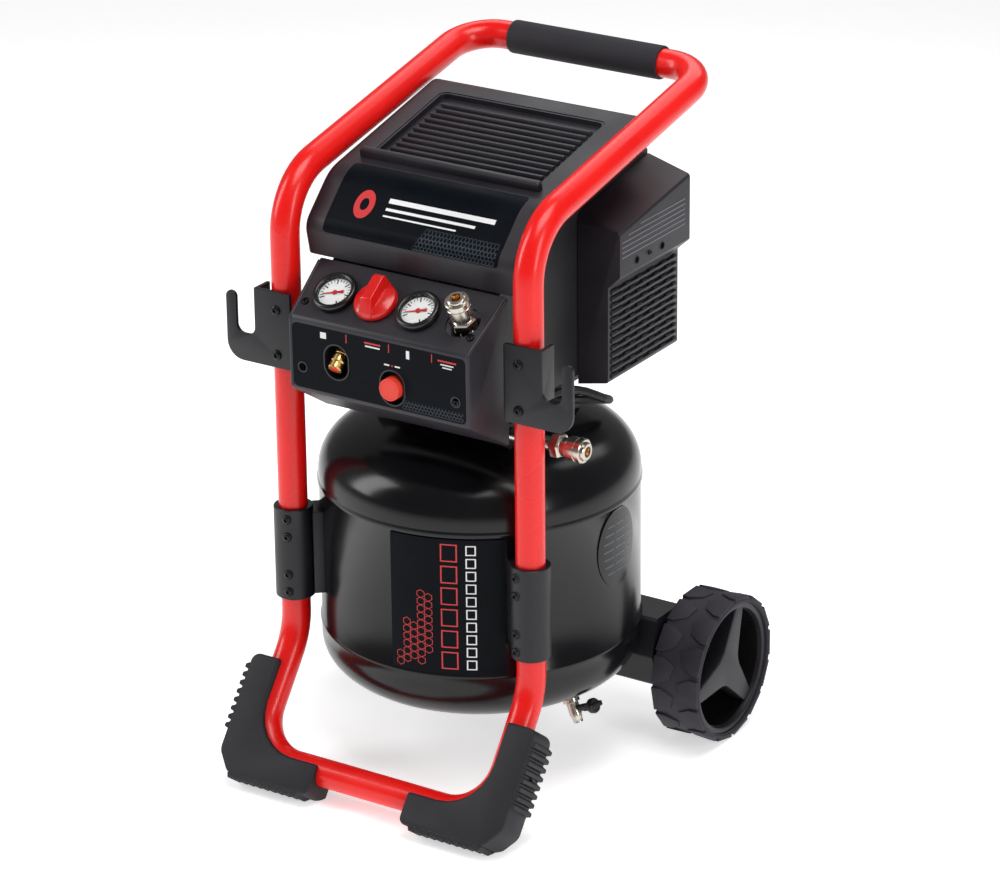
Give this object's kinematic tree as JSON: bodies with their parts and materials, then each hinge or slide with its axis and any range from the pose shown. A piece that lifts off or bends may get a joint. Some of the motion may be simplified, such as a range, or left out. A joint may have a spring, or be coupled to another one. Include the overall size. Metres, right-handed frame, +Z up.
{
  "type": "air compressor",
  "caption": "Upright wheeled air compressor: bent tube frame, vertical tank, boxy pump housing, sloped control panel with gauges and quick couplers.",
  "frame": {"origin": "middle of the footprint, on the floor", "axes": "+Z up, -Y the control panel's side, +Y the handle and wheel side, +X to the right for someone facing the control panel"},
  "size_m": [0.4258, 0.4476, 0.6644],
  "materials": {
    "red_paint": "glossy powder coat",
    "black_paint": "satin powder coat",
    "tank_enamel": "semi-gloss enamel",
    "housing_abs": "fine-grained moulding",
    "dark_abs": "matte moulding",
    "hub_plastic": "satin moulding",
    "grip_foam": "matte closed-cell foam",
    "shoe_rubber": "matte moulded rubber",
    "hose_rubber": "matte braided hose",
    "tyre_rubber": "matte tyre rubber",
    "nickel": "nickel plate",
    "brass": "turned brass",
    "steel": "zinc plated",
    "aluminium": "as cast",
    "red_plastic": "glossy moulding",
    "lens": "clear"
  },
  "bodies": {
    "machine": {"air_manifold": "aluminium", "air_tank": "tank_enamel", "cable_gland": "dark_abs", "check_valve": "brass", "control_panel": "housing_abs", "corner_foot_left": "shoe_rubber", "corner_foot_right": "shoe_rubber", "coupler_body_panel": "nickel", "coupler_body_side": "nickel", "crankcase_left": "aluminium", "crankcase_right": "aluminium", "cylinder_head_left": "aluminium", "cylinder_head_right": "aluminium", "discharge_hose": "hose_rubber", "drain_valve_body": "nickel", "foot_hoop": "red_paint", "gauge_case_outlet": "dark_abs", "gauge_case_tank": "dark_abs", "gauge_lens_outlet": "lens", "gauge_lens_tank": "lens", "handle_grip": "grip_foam", "handle_hoop": "red_paint", "hook_bracket_left": "black_paint", "hook_bracket_right": "black_paint", "housing_body": "dark_abs", "motor_stator": "steel", "pressure_switch": "dark_abs", "pump_platform": "black_paint", "rating_plate": "tank_enamel", "regulator_body": "aluminium", "rubber_mount_1": "shoe_rubber", "rubber_mount_2": "shoe_rubber", "rubber_mount_3": "shoe_rubber", "rubber_mount_4": "shoe_rubber", "safety_valve_body": "brass", "side_cover_left": "housing_abs", "side_cover_right": "housing_abs", "storage_tray": "housing_abs", "tank_saddle": "black_paint", "top_cover": "housing_abs", "tube_clamp_left": "black_paint", "tube_clamp_right": "black_paint", "wheel_axle_left": "steel", "wheel_axle_right": "steel", "wheel_bracket_left": "black_paint", "wheel_bracket_right": "black_paint"},
    "wheel_left": {"tyre_left": "tyre_rubber", "wheel_hub_left": "hub_plastic"},
    "wheel_right": {"tyre_right": "tyre_rubber", "wheel_hub_right": "hub_plastic"},
    "rotor": {"rotor_shaft": "steel", "cooling_fan": "dark_abs"},
    "pressure_knob": {"regulator_knob": "red_plastic"},
    "needle_tank": {"gauge_needle_tank": "red_plastic"},
    "needle_outlet": {"gauge_needle_outlet": "red_plastic"},
    "on_off_button": {"switch_button": "red_plastic"},
    "sleeve_panel": {"coupler_sleeve_panel": "nickel"},
    "sleeve_side": {"coupler_sleeve_side": "nickel"},
    "relief_pin": {"safety_valve_pin": "red_plastic"},
    "drain_tap": {"drain_lever": "dark_abs"}
  },
  "joints": [
    {"name": "wheel_left_spin", "type": "hinge", "parent": "machine", "child": "wheel_left", "pos_m": [-0.18, 0.13156, 0.0733], "axis": [1, 0, 0], "continuous": true},
    {"name": "wheel_right_spin", "type": "hinge", "parent": "machine", "child": "wheel_right", "pos_m": [0.18, 0.13156, 0.0733], "axis": [1, 0, 0], "continuous": true},
    {"name": "rotor_spin", "type": "hinge", "parent": "machine", "child": "rotor", "pos_m": [0, 0.05336, 0.452], "axis": [1, 0, 0], "continuous": true},
    {"name": "regulator_turn", "type": "hinge", "parent": "machine", "child": "pressure_knob", "pos_m": [-0.019, -0.13055, 0.49224], "axis": [0, -0.5448, 0.8386], "range_deg": [-150, 150]},
    {"name": "tank_gauge_read", "type": "hinge", "parent": "machine", "child": "needle_tank", "pos_m": [-0.0645, -0.13055, 0.49224], "axis": [0, 0.5448, -0.8386], "range_deg": [0, 270], "stiffness_Nm_per_rad": 0.0002, "springref_deg": -17.19},
    {"name": "outlet_gauge_read", "type": "hinge", "parent": "machine", "child": "needle_outlet", "pos_m": [0.0275, -0.13055, 0.49224], "axis": [0, 0.5448, -0.8386], "range_deg": [0, 270], "stiffness_Nm_per_rad": 0.0002, "springref_deg": -17.19},
    {"name": "switch_press", "type": "slide", "parent": "machine", "child": "on_off_button", "axis": [0, 1, 0], "range_m": [0, 0.006]},
    {"name": "sleeve_panel_pull", "type": "slide", "parent": "machine", "child": "sleeve_panel", "axis": [0, 0.4226, -0.9063], "range_m": [0, 0.006], "stiffness_N_per_m": 500, "springref_m": -0.004},
    {"name": "sleeve_side_pull", "type": "slide", "parent": "machine", "child": "sleeve_side", "axis": [-1, 0, 0], "range_m": [0, 0.006], "stiffness_N_per_m": 500, "springref_m": -0.004},
    {"name": "relief_pull", "type": "slide", "parent": "machine", "child": "relief_pin", "axis": [0, -0.766, -0.6428], "range_m": [0, 0.003], "stiffness_N_per_m": 800, "springref_m": -0.002},
    {"name": "drain_turn", "type": "hinge", "parent": "machine", "child": "drain_tap", "pos_m": [0.1158, -0.0079, 0.0635], "axis": [0.9046, -0.1271, 0.4067], "range_deg": [0, 90]}
  ]
}
